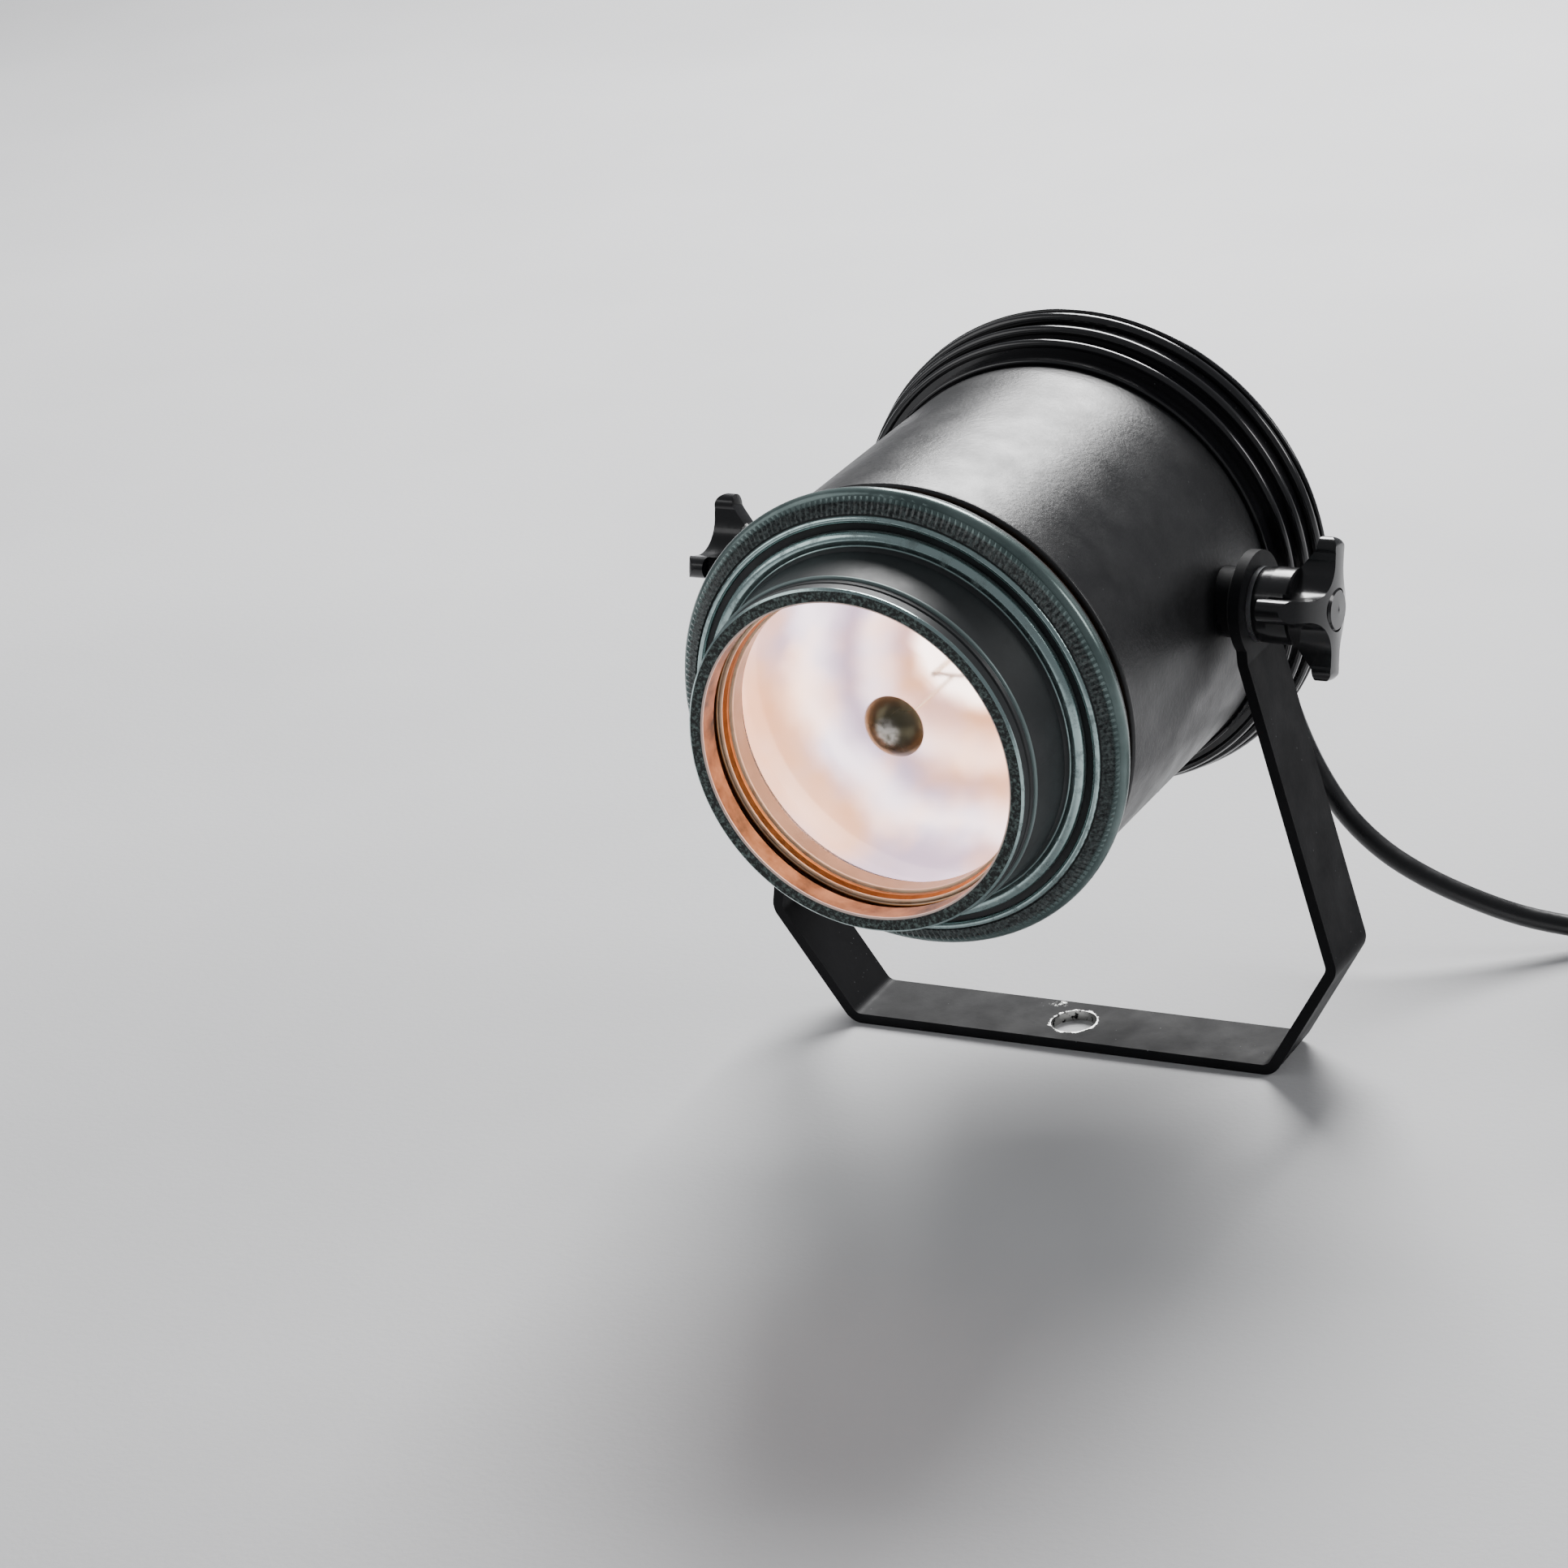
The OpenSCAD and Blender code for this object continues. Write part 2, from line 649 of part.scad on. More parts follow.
// Star knob with four wings, of which those on the swept sides curve back to the can
wing_tip = 3;
wing_t = 5.6;
scallop_r = 9.4;
scallop_at = 17.2;
saddle_r = 24.6;
insert_r = 6;
insert_end = 81;
cap_r = 5.8;
tip_round = 2.8;
module star() {
    difference() {
        union() {
            circle(r = 13);
            round_z(4) translate([wing_r - wing_tip, 0]) circle(r = wing_tip, $fn = 48);
            round_z(4) translate([9, -wing_tip + 0.2])
                square([wing_r - wing_tip - 9, 2 * wing_tip - 0.4]);
        }
        round_z(4, 45) translate([scallop_at, 0]) circle(r = scallop_r, $fn = 64);
    }
}

// Cylinder across the knob whose top lies drop below the outer face
module saddle(r, drop) {
    translate([0, 0, knob_end - drop - r]) rotate([0, 90, 0])
        cylinder(r = r, h = 4 * wing_r, center = true, $fn = 128);
}

// The space each kind of wing lies in: a disc with a rounded edge, and half a saddle
module flat_space() {
    rotate_extrude() {
        translate([0, wing_start - 3])
            square([wing_r, knob_end - tip_round - wing_start + 3]);
        translate([0, wing_start - 3])
            square([wing_r - tip_round, knob_end - wing_start + 3]);
        translate([wing_r - tip_round, knob_end - tip_round]) circle(r = tip_round, $fn = 48);
    }
}

module swept_side(side, from) {
    translate([0, side * (wing_r + from), (hub_start + knob_end + 1) / 2])
        cube([4 * wing_r, 2 * wing_r, knob_end - hub_start + 1], center = true);
}

module knob(turn, swept) {
    color("#0d0d0f") on_pivot() rotate([0, 0, turn]) difference() {
        union() {
            translate([0, 0, hub_start]) cylinder(r1 = hub_r - 0.5, r2 = hub_r, h = 9.6);
            translate([0, 0, wing_start + 1]) cylinder(r = hub_r + 0.7, h = 1.8);
            difference() {
                intersection() {
                    translate([0, 0, wing_start - 3])
                        linear_extrude(height = knob_end - wing_start + 3) star();
                    flat_space();
                }
                for (side = swept) difference() {
                    swept_side(side, 0);
                    saddle(saddle_r, 0);
                }
            }
        }
        // Underside of the flat wings
        difference() {
            rotate_extrude() polygon([
                [hub_r - 0.3, wing_start - 4], [wing_r + 2, wing_start - 4],
                [wing_r + 2, knob_end - wing_t + 0.6], [wing_r - 3, knob_end - wing_t],
                [hub_r + 0.8, wing_start + 3], [hub_r - 0.3, wing_start + 1.4]
            ]);
            for (side = swept) translate([0, side * wing_r, wing_start])
                cube([2 * wing_tip + 2, 2 * wing_r, 40], center = true);
        }
        // Underside of the swept wings
        for (side = swept) intersection() {
            swept_side(side, hub_r - 0.3);
            saddle(saddle_r - wing_t, wing_t);
        }
        translate([0, 0, hub_start - 1]) cylinder(r = insert_r, h = insert_end - hub_start + 1);
        translate([0, 0, hub_start]) cylinder(r = stud_r + 0.3, h = stud_end - hub_start + 1.5);
        translate([0, 0, knob_end - 1.8]) cylinder(r = cap_r, h = 3);
    }
}

module backed_off() {
    left_side() translate([left_knob_out, 0, 0]) children();
}

module knob_insert() {
    color("#b48b3c") on_pivot() translate([0, 0, hub_start])
        ring(insert_r, stud_r + 0.05, insert_end - hub_start);
}

module knob_cap() {
    color("#1f1f22") on_pivot() translate([0, 0, knob_end - 1.8]) rotate_extrude()
        polygon([[0, 0], [cap_r, 0], [cap_r, 1.3], [cap_r - 0.7, 1.9], [0, 2.1]]);
}

// ---- cord -------------------------------------------------------------------
cord_r = cord_d / 2;
cord_route = [
    [0, 77.2, 129], [0.2, 86, 128.4], [1.5, 95, 125.5], [4, 103, 120], [7.5, 108, 112],
    [11.5, 109.5, 103], [16, 107.5, 93.5], [21, 103, 84], [26.5, 97, 74.5], [33, 90, 65],
    [40, 83, 56], [48, 77, 47], [57, 72.5, 38.5], [67.5, 70.5, 30.5], [79, 71, 23.5],
    [91.5, 73.5, 17], [105, 77.5, 11], [119, 83, 6.5], [134, 88, 3.8], [153, 90.5, 3],
    [171, 90.6, 3]
];
coil_mid = 36;
coil_x = 186;
coil_y = 51.6;
coil_layers = 3;

module cord_lead() {
    color("#0e0e10") tube_along(curve(cord_route, 3), cord_r, 10);
}

// Stored length of cord: a flat round coil two turns wide
module cord_coil() {
    color("#0f0f11") translate([coil_x, coil_y, 0])
        ring(coil_mid + cord_d, coil_mid - cord_d, coil_layers * cord_d);
}

tail_route = [[225, 51.6, 15], [225.2, 42, 15.5], [225.6, 32, 17], [226, 22, 18]];
module cord_tail() {
    color("#0e0e10") tube_along(curve(tail_route, 3), cord_r, 10, [0, 0, 1]);
}

module coil_tie() {
    wide = 9;
    color("#2c2c30") translate([coil_x - coil_mid, coil_y, 0]) difference() {
        translate([-cord_d - 0.9, -wide / 2, 0])
            cube([2 * cord_d + 1.8, wide, coil_layers * cord_d + 0.9]);
        translate([-cord_d - 0.3, -wide, -1])
            cube([2 * cord_d + 0.6, 2 * wide, coil_layers * cord_d + 1.3]);
    }
}

plug_at = [226, 22, 18];
plug_len = 36;
module on_plug() {
    translate(plug_at) rotate([90, 0, 0]) children();
}

// Moulded plug: a waisted grip that widens to a round face
module plug_body() {
    color("#131315") on_plug() difference() {
        rotate_extrude() polygon([
            [0, 0], [5, 0], [6.5, 9], [11, 15], [12, 21], [14, 25], [18, 28], [18, plug_len],
            [0, plug_len]
        ]);
        for (s = [-1, 1]) translate([-3, s * 18.2 - 1.6, 27]) cube([6, 3.2, plug_len]);
    }
}

module plug_pins() {
    color("#c8c9cb") on_plug() for (x = [-9.5, 9.5]) translate([x, 0, plug_len]) {
        cylinder(r = 2.4, h = 17, $fn = 40);
        translate([0, 0, 17]) cylinder(r1 = 2.4, r2 = 1.4, h = 2, $fn = 40);
    }
}

module plug_earth_clips() {
    color("#c2a25a") on_plug() for (s = [-1, 1])
        translate([-2.6, s * 17.1 - 0.35, 28]) cube([5.2, 0.7, plug_len - 28]);
}

yoke();
body_tube();
bayonet_pins();
rear_collar();
rear_cap();
cap_screws();
front_ring();
snout();
lens_ring();
lens_seal();
lamp_lens();
lamp_reflector();
filament_shield();
filament();
lamp_terminals();
lamp_gasket();
lamp_spring();
transformer_core();
transformer_winding();
transformer_bracket();
bracket_screws();
terminal_block();
terminal_screws();
earth_screw();
mains_wires();
lamp_wires();
cable_gland();
gland_nut();
strain_relief();
stud(0);  // right_stud
left_side() stud(left_knob_out);  // left_stud
boss();  // right_boss
left_side() boss();  // left_boss
stud_nut();  // right_stud_nut
left_side() stud_nut();  // left_stud_nut
rubber_washer();  // right_rubber_washer
left_side() rubber_washer();  // left_rubber_washer
washer();  // right_washer
left_side() washer();  // left_washer
knob(right_knob_turn, [-1, 1]);  // right_knob
backed_off() knob(left_knob_turn, [1]);  // left_knob
knob_insert();  // right_knob_insert
backed_off() knob_insert();  // left_knob_insert
knob_cap();  // right_knob_cap
backed_off() knob_cap();  // left_knob_cap
cord_lead();
cord_coil();
cord_tail();
coil_tie();
plug_body();
plug_pins();
plug_earth_clips();
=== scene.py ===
"""Small par can spot on its strap yoke, with its lead: the looks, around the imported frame."""
import json
import math

import bmesh
import bpy
from mathutils import Matrix, Vector


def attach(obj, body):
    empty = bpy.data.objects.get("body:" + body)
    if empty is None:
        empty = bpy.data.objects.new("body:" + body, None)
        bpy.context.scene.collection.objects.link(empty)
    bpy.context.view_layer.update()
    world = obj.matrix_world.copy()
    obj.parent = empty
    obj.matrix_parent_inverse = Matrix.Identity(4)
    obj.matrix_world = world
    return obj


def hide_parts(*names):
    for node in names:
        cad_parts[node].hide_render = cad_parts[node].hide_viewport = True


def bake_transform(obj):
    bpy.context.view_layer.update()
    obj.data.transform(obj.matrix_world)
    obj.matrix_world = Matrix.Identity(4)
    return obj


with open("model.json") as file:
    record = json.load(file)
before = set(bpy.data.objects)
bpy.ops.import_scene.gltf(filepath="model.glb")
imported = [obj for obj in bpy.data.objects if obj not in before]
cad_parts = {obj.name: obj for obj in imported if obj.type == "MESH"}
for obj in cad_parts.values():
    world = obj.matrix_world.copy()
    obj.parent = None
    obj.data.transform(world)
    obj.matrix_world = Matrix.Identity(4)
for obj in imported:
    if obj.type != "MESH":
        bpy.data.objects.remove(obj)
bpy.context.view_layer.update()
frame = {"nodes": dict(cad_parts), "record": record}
nodes = frame["nodes"]

# ---- camera -------------------------------------------------------------------------
# Angles in degrees before the conversion; lengths in metres, lens and sensor in millimetres
AZIMUTH, ELEVATION, ROLL = (math.radians(a) for a in (30.795, 23.561, -7.491))
DISTANCE = 1.296291
TARGET = Vector((-0.039939, -0.073238, 0.104895))
LENS, SENSOR = 112.82, 36.0


def add_camera():
    """Looks at TARGET from DISTANCE, rolled about its own line of sight."""
    right = Vector((math.cos(AZIMUTH), math.sin(AZIMUTH), 0))
    ahead = Vector((-math.sin(AZIMUTH) * math.cos(ELEVATION),
                    math.cos(AZIMUTH) * math.cos(ELEVATION), -math.sin(ELEVATION)))
    up = right.cross(ahead)
    x = right * math.cos(ROLL) + up * math.sin(ROLL)
    y = up * math.cos(ROLL) - right * math.sin(ROLL)
    data = bpy.data.cameras.new("camera")
    data.lens, data.sensor_width = LENS, SENSOR
    data.clip_start, data.clip_end = 0.02, 50
    camera = bpy.data.objects.new("camera", data)
    bpy.context.collection.objects.link(camera)
    turn = Matrix((x, y, -ahead)).transposed().to_4x4()
    camera.matrix_world = Matrix.Translation(TARGET - ahead * DISTANCE) @ turn
    bpy.context.scene.camera = camera


add_camera()

# ---- sizes that part.scad gives, in metres --------------------------------------------
AXIS_Z = 0.129  # height of the can's own axis
CORD_R = 0.003


def mesh_object(name, bm, smooth=True):
    mesh = bpy.data.meshes.new(name)
    bm.normal_update()
    bm.to_mesh(mesh)
    bm.free()
    if smooth:
        mesh.polygons.foreach_set("use_smooth", [True] * len(mesh.polygons))
    o = bpy.data.objects.new(name, mesh)
    bpy.context.collection.objects.link(o)
    return o


def piece(name, bm, body, smooth=True):
    """Turns a bmesh into a piece. It rides on the body, unless that is None."""
    o = mesh_object(name, bm, smooth)
    if body:
        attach(o, body)
    return o


def catmull(points, steps):
    """Catmull-Rom curve through the points, as in the CAD."""
    out = []
    last = len(points) - 1
    for i in range(last):
        a, b = points[max(i - 1, 0)], points[i]
        c, d = points[i + 1], points[min(i + 2, last)]
        for k in range(steps):
            t = k / steps
            out.append(0.5 * (2 * b + (c - a) * t + (2 * a - 5 * b + 4 * c - d) * t * t
                              + (3 * b - a - 3 * c + d) * t ** 3))
    return out + [points[-1]]


def sweep(bm, path, radius, sides):
    """Closed tube along a path, its section kept from twisting."""
    n = len(path)
    normal = Vector((1, 0, 0))
    rings = []
    for i, p in enumerate(path):
        ahead = (path[min(i + 1, n - 1)] - path[max(i - 1, 0)]).normalized()
        normal = (normal - ahead * normal.dot(ahead)).normalized()
        side = ahead.cross(normal)
        rings.append([bm.verts.new(p + radius * (math.cos(q) * normal + math.sin(q) * side))
                      for q in (2 * math.pi * k / sides for k in range(sides))])
    for a, b in zip(rings, rings[1:]):
        for k in range(sides):
            bm.faces.new((a[k], a[(k + 1) % sides], b[(k + 1) % sides], b[k]))
    bm.faces.new(list(reversed(rings[0])))
    bm.faces.new(rings[-1])


# ---- cord, in millimetres until cord_path() -------------------------------------------
CORD_ROUTE = [
    (0, 77.2, 129), (0.2, 86, 128.4), (1.5, 95, 125.5), (4, 103, 120), (7.5, 108, 112),
    (11.5, 109.5, 103), (16, 107.5, 93.5), (21, 103, 84), (26.5, 97, 74.5), (33, 90, 65),
    (40, 83, 56), (48, 77, 47), (57, 72.5, 38.5), (67.5, 70.5, 30.5), (79, 71, 23.5),
    (91.5, 73.5, 17), (105, 77.5, 11), (119, 83, 6.5), (134, 88, 3.8), (153, 90.5, 3),
    (171, 90.6, 3),
]
COIL_ENTRY = [(179, 90.6, 3), (186, 90.6, 3)]
COIL_CENTRE = (186, 51.6)
COIL_TURNS = 5.25
# Radius and height of each turn: outer bottom, inner bottom, inner middle and so on up
COIL_LANES = [(39, 3), (33, 3), (33, 9), (39, 9), (33, 15), (39, 15)]
POINTS_PER_TURN = 28
CHANGE_FROM = 0.72  # share of a turn after which the cord crosses to its next lane
TAIL_ROUTE = [(225.2, 42, 15.5), (225.6, 32, 17), (226, 22, 18)]
ROUTE_STEPS = 4  # points made between two points of a route
CORD_SIDES = 20


def coil_points():
    """Clockwise turns beside and on each other, from the coil's +Y side."""
    cx, cy = COIL_CENTRE
    points = []
    for i in range(1, int(COIL_TURNS * POINTS_PER_TURN) + 1):
        turns = i / POINTS_PER_TURN
        lane = int(turns)
        part = turns - lane
        r, z = COIL_LANES[lane]
        if lane + 1 < len(COIL_LANES) and part > CHANGE_FROM:
            t = (part - CHANGE_FROM) / (1 - CHANGE_FROM)
            t = t * t * (3 - 2 * t)
            r2, z2 = COIL_LANES[lane + 1]
            r, z = r + (r2 - r) * t, z + (z2 - z) * t
        a = math.radians(90 - 360 * turns)
        points.append((cx + r * math.cos(a), cy + r * math.sin(a), z))
    return points


def cord_path():
    """Lead, coil and tail as one line of points, in metres."""
    lead = catmull([Vector(p) for p in CORD_ROUTE], ROUTE_STEPS)
    turns = [Vector(p) for p in COIL_ENTRY + coil_points()]
    tail = catmull([Vector(p) for p in TAIL_ROUTE], ROUTE_STEPS)
    return [p / 1000 for p in lead + turns + tail]


# The tie, in millimetres: radius and height of the wires it holds, then its own sizes
TIED_WIRES = [(38.9, 3.0), (33.0, 3.1), (33.1, 9.0), (38.9, 9.1), (33.1, 15.0)]
TIE_HALF_WIDTH = 4.2
TIE_THICK = 0.8
TIE_GAP = 0.25  # between the wires and the strap's inner edges
TIE_EDGE = 0.3  # how far each outer edge is set in
TIE_COUNT = 72  # points round the strap
TIE_FLOOR = 0.05


def add_tie():
    """Strap round the coil where its turns pass -X, pulled snug over them."""
    cx, cy = COIL_CENTRE
    inner_reach = 1000 * CORD_R + TIE_GAP
    outer_reach = inner_reach + TIE_THICK
    outer_side = TIE_HALF_WIDTH - TIE_EDGE
    bm = bmesh.new()
    loops = []
    for y, reach in ((-TIE_HALF_WIDTH, inner_reach), (-outer_side, outer_reach),
                     (outer_side, outer_reach), (TIE_HALF_WIDTH, inner_reach)):
        loop = []
        for i in range(TIE_COUNT):
            q = 2 * math.pi * i / TIE_COUNT
            c, s = math.cos(q), math.sin(q)
            r, z = max(TIED_WIRES, key=lambda w: w[0] * c + w[1] * s)
            x, up = cx - (r + reach * c), max(z + reach * s, TIE_FLOOR)
            loop.append(bm.verts.new((x / 1000, (cy + y) / 1000, up / 1000)))
        loops.append(loop)
    for a, b in zip(loops, loops[1:] + loops[:1]):
        for i in range(TIE_COUNT):
            j = (i + 1) % TIE_COUNT
            bm.faces.new((a[i], b[i], b[j], a[j]))
    bmesh.ops.recalc_face_normals(bm, faces=bm.faces)
    tie = piece("tie_band", bm, "base")
    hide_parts("coil_tie")
    return tie


def add_cord():
    path = cord_path()
    bm = bmesh.new()
    sweep(bm, path, CORD_R, CORD_SIDES)
    cord = piece("cord", bm, None)
    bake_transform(cord)
    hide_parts("cord_lead", "cord_coil", "cord_tail")
    return cord


# ---- materials ----------------------------------------------------------------
class Look:
    """One procedural material: short names for the nodes it is built from."""

    def __init__(self, name, color, roughness, metallic=0.0, **sockets):
        self.material = bpy.data.materials.new(name)
        self.material.use_nodes = True
        self.tree = self.material.node_tree
        self.shader = self.tree.nodes["Principled BSDF"]
        self.set("Base Color", color)
        self.set("Roughness", roughness)
        self.set("Metallic", metallic)
        for key, value in sockets.items():
            self.set(key.replace("_", " "), value)
        self.coord = self.node("ShaderNodeTexCoord").outputs["Object"]

    def node(self, kind, **props):
        n = self.tree.nodes.new(kind)
        for key, value in props.items():
            setattr(n, key, value)
        return n

    def set(self, socket, value):
        """A constant goes on the socket, anything else is linked to it."""
        put(self.tree, self.shader.inputs[socket], value)

    def linked(self, socket):
        """What is linked to a socket of the shader so far."""
        return self.shader.inputs[socket].links[0].from_socket

    def noise(self, scale, detail=3.0, roughness=0.5):
        n = self.node("ShaderNodeTexNoise")
        n.inputs["Scale"].default_value = scale
        n.inputs["Detail"].default_value = detail
        n.inputs["Roughness"].default_value = roughness
        self.tree.links.new(self.coord, n.inputs["Vector"])
        return n.outputs["Fac"]

    def cells(self, scale):
        """Distance to the nearest of many scattered points, for specks."""
        n = self.node("ShaderNodeTexVoronoi", feature="F1")
        n.inputs["Scale"].default_value = scale
        self.tree.links.new(self.coord, n.inputs["Vector"])
        return n.outputs["Distance"]

    def ramp(self, fac, *stops, ease=False):
        """Colour or value by fac: stops are (position, value or colour)."""
        n = self.node("ShaderNodeValToRGB")
        if ease:
            n.color_ramp.interpolation = "EASE"
        for i, (at, value) in enumerate(stops):
            e = n.color_ramp.elements[i] if i < 2 else n.color_ramp.elements.new(at)
            e.position = at
            c = value if isinstance(value, tuple) else (value,) * 3
            e.color = (*c, 1)
        self.tree.links.new(fac, n.inputs["Fac"])
        return n.outputs["Color"]

    def math(self, op, a, b=None, clamp=False):
        n = self.node("ShaderNodeMath", operation=op, use_clamp=clamp)
        put(self.tree, n.inputs[0], a)
        if b is not None:
            put(self.tree, n.inputs[1], b)
        return n.outputs[0]

    def times(self, a, b):
        return self.math("MULTIPLY", a, b)

    def plus(self, a, b, clamp=False):
        return self.math("ADD", a, b, clamp)

    def larger(self, a, b):
        return self.math("MAXIMUM", a, b)

    def length(self, a, b):
        return self.math("SQRT", self.plus(self.times(a, a), self.times(b, b)))

    def between(self, value, low, high, out_low=0.0, out_high=1.0):
        """A smooth step, from out_low where value is low to out_high where it is high."""
        n = self.node("ShaderNodeMapRange", interpolation_type="SMOOTHSTEP")
        for i, v in enumerate((value, low, high, out_low, out_high)):
            put(self.tree, n.inputs[i], v)
        return n.outputs[0]

    def under(self, value, limit, soft=0.0002):
        """1 below a limit and 0 above it; the step reaches soft metres to each side."""
        return self.between(value, limit + soft, limit - soft)

    def over(self, value, limit, soft=0.0002):
        return self.between(value, limit - soft, limit + soft)

    def mix(self, fac, a, b):
        n = self.node("ShaderNodeMix", data_type="RGBA")
        put(self.tree, n.inputs["Factor"], fac)
        for key, v in (("A", a), ("B", b)):
            socket = next(s for s in n.inputs if s.name == key and s.type == "RGBA")
            put(self.tree, socket, v)
        return next(s for s in n.outputs if s.type == "RGBA")

    def bump(self, height, distance, strength=1.0, normal=None):
        n = self.node("ShaderNodeBump")
        n.inputs["Strength"].default_value = strength
        n.inputs["Distance"].default_value = distance
        self.tree.links.new(height, n.inputs["Height"])
        if normal is not None:
            self.tree.links.new(normal, n.inputs["Normal"])
        self.tree.links.new(n.outputs[0], self.shader.inputs["Normal"])
        return n.outputs[0]

    def axes(self):
        n = self.node("ShaderNodeSeparateXYZ")
        self.tree.links.new(self.coord, n.inputs[0])
        return n.outputs

    def from_beam_axis(self):
        """Distance from the can's axis and distance forward of the tilt axis, in metres."""
        x, y, z = self.axes()
        return self.length(x, self.math("SUBTRACT", z, AXIS_Z)), self.times(y, -1.0)

    def near_circle(self, r, a, circle):
        """1 near a circle round the can's axis, 0 away from it: its (radius, station, reach)."""
        radius, station, reach = circle
        d = self.length(self.math("SUBTRACT", r, radius), self.math("SUBTRACT", a, station))
        return self.between(d, reach, reach * 0.8)


def put(tree, socket, value):
    """Links an output to a socket, or sets the socket to a constant."""
    if isinstance(value, bpy.types.NodeSocket):
        tree.links.new(value, socket)
    elif isinstance(value, tuple) and len(value) == 3 and socket.type == "RGBA":
        socket.default_value = (*value, 1)
    else:
        socket.default_value = value


def shade(color, factor):
    return tuple(min(1, c * factor) for c in color)


def powder(name, color, roughness, peel=0.00008, coat=0.0):
    """Powder coat: orange peel, faint mottling, fine dust."""
    k = Look(name, color, roughness)
    k.set("Specular IOR Level", 0.5)
    if coat:
        k.set("Coat Weight", coat)
        k.set("Coat Roughness", 0.12)
    mottle = k.noise(38, 4, 0.6)
    dust = k.times(k.between(k.cells(420), 0.10, 0.05), k.between(k.noise(55, 2), 0.52, 0.62))
    body = k.ramp(mottle, (0.3, shade(color, 0.75)), (0.7, shade(color, 1.5)))
    k.set("Base Color", k.mix(k.times(dust, 0.5), body, (0.16, 0.16, 0.17)))
    k.set("Roughness", k.ramp(k.noise(90, 5, 0.6), (0.3, roughness - 0.06), (0.7, roughness + 0.08)))
    first = k.bump(k.noise(780, 3, 0.55), peel)
    k.bump(k.noise(2600, 2, 0.6), peel * 0.3, normal=first)
    return k


def plain_metal(name, color, roughness, scale=300):
    """Bare metal with a fine grain and uneven polish."""
    k = Look(name, color, roughness, 1.0)
    grain = k.noise(scale, 4, 0.6)
    k.set("Base Color", k.ramp(grain, (0.3, shade(color, 0.7)), (0.7, color)))
    k.set("Roughness", k.ramp(k.noise(60, 4), (0.3, roughness * 0.8), (0.7, roughness * 1.4)))
    k.bump(grain, 0.00002)
    return k


def plastic(name, color, roughness, grain=1500, depth=0.00001, **sockets):
    """Moulded plastic or rubber: faint mottling and a fine grain."""
    k = Look(name, color, roughness, **sockets)
    k.set("Base Color", k.ramp(k.noise(60, 4), (0.3, shade(color, 0.8)), (0.7, shade(color, 1.25))))
    k.set("Roughness", k.ramp(k.noise(110, 5, 0.65), (0.3, roughness * 0.75), (0.7, roughness * 1.35)))
    k.bump(k.noise(grain, 3), depth)
    return k


# Where the front's features lie, in metres. r is the distance from the can's axis and a is the
# distance forward of the tilt axis. A circle is (r, a, how far its look reaches).
OUTER_BEAD = (0.0613, 0.0766, 0.0038)
POLISHED_BEADS = ((0.052, 0.0822, 0.0023), (0.0568, 0.0814, 0.0011), (0.0473, 0.1047, 0.0006))
# Painted highlight: a faint lighter line round the snout's side.
SNOUT_HIGHLIGHT = (0.0479, 0.0988, 0.0008)
MOUTH_LIP = (0.0436, 0.1048, 0.0005)
LENS_RING_EDGES = ((0.0434, 0.0955, 0.0008), (0.0422, 0.0918, 0.0009))
GAP_R, GAP_FRONT = 0.0600, 0.0726  # the joint between can and ring
BAND_INNER_R, BAND_OUTER_R, BAND_BACK = 0.0581, 0.06115, 0.07875  # the toothed band
MOUTH_R, MOUTH_FRONT = 0.0451, 0.10475
GROOVE_BACK, GROOVE_FRONT = 0.09605, 0.09865
RIM_INNER_R, RIM_OUTER_R, RIM_BACK = 0.0440, 0.0469, 0.1048


